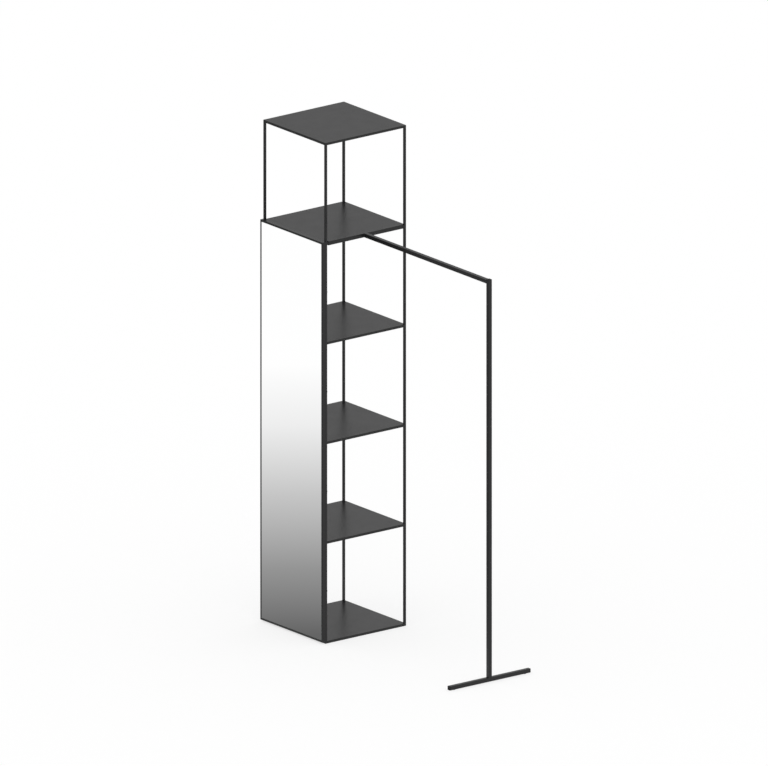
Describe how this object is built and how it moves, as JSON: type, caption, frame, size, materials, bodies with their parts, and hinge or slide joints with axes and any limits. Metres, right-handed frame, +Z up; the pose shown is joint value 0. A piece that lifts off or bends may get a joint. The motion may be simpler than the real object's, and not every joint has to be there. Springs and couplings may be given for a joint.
{
  "type": "clothes stand",
  "caption": "Free-standing clothes stand: a slim square shelf tower of steel posts and folded trays, a framed full-length mirror on its side and a square-tube hanging rail on a T foot.",
  "frame": {"origin": "on the floor, under the middle of the whole stand's box", "axes": "+Z up; +X from the tower towards the rail's leg; the mirror faces -Y"},
  "size_m": [1.2, 0.415, 2.0555],
  "materials": {
    "powder_coat": "fine-grained satin powder coat in anthracite black on steel",
    "mirror_glass": "clear float glass silvered on its back face",
    "black_plastic": "moulded polyamide with a fine matt grain",
    "zinc_steel": "zinc-plated steel",
    "black_screw": "black zinc-plated steel",
    "backing_board": "raw fibreboard, hidden in the mirror panel"
  },
  "bodies": {
    "stand": {"post_front_left": "powder_coat", "post_front_right": "powder_coat", "post_back_left": "powder_coat", "post_back_right": "powder_coat", "base_tray": "powder_coat", "shelf_tray_1": "powder_coat", "shelf_tray_2": "powder_coat", "shelf_tray_3": "powder_coat", "rail_tray": "powder_coat", "top_tray": "powder_coat", "tray_screws": "black_screw", "mirror_stile_left": "powder_coat", "mirror_stile_right": "powder_coat", "mirror_frame_top": "powder_coat", "mirror_frame_bottom": "powder_coat", "mirror_glass": "mirror_glass", "mirror_core_board": "backing_board", "mirror_back_sheet": "powder_coat", "mirror_screws": "black_screw", "rail_crossbar": "powder_coat", "rail_arm": "powder_coat", "rail_leg": "powder_coat", "foot_bar": "powder_coat", "crossbar_plugs": "black_plastic", "foot_bar_plugs": "black_plastic", "leg_cap": "black_plastic", "rail_screws": "black_screw", "leg_insert": "zinc_steel", "foot_bolt": "zinc_steel", "rail_rivet_nuts": "zinc_steel", "bar_rivet_nuts": "zinc_steel", "tower_foot_nuts": "zinc_steel"},
    "tower_foot_front_left": {"tower_foot_pad_front_left": "black_plastic", "tower_foot_stud_front_left": "zinc_steel"},
    "tower_foot_front_right": {"tower_foot_pad_front_right": "black_plastic", "tower_foot_stud_front_right": "zinc_steel"},
    "tower_foot_back_left": {"tower_foot_pad_back_left": "black_plastic", "tower_foot_stud_back_left": "zinc_steel"},
    "tower_foot_back_right": {"tower_foot_pad_back_right": "black_plastic", "tower_foot_stud_back_right": "zinc_steel"},
    "bar_foot_front": {"bar_foot_pad_front": "black_plastic", "bar_foot_stud_front": "zinc_steel"},
    "bar_foot_back": {"bar_foot_pad_back": "black_plastic", "bar_foot_stud_back": "zinc_steel"}
  },
  "joints": [
    {"name": "tower_foot_front_left_slide", "type": "slide", "parent": "stand", "child": "tower_foot_front_left", "axis": [0, 0, -1], "range_m": [0, 0.003]},
    {"name": "tower_foot_front_right_slide", "type": "slide", "parent": "stand", "child": "tower_foot_front_right", "axis": [0, 0, -1], "range_m": [0, 0.003]},
    {"name": "tower_foot_back_left_slide", "type": "slide", "parent": "stand", "child": "tower_foot_back_left", "axis": [0, 0, -1], "range_m": [0, 0.003]},
    {"name": "tower_foot_back_right_slide", "type": "slide", "parent": "stand", "child": "tower_foot_back_right", "axis": [0, 0, -1], "range_m": [0, 0.003]},
    {"name": "bar_foot_front_slide", "type": "slide", "parent": "stand", "child": "bar_foot_front", "axis": [0, 0, -1], "range_m": [0, 0.006]},
    {"name": "bar_foot_back_slide", "type": "slide", "parent": "stand", "child": "bar_foot_back", "axis": [0, 0, -1], "range_m": [0, 0.006]}
  ]
}
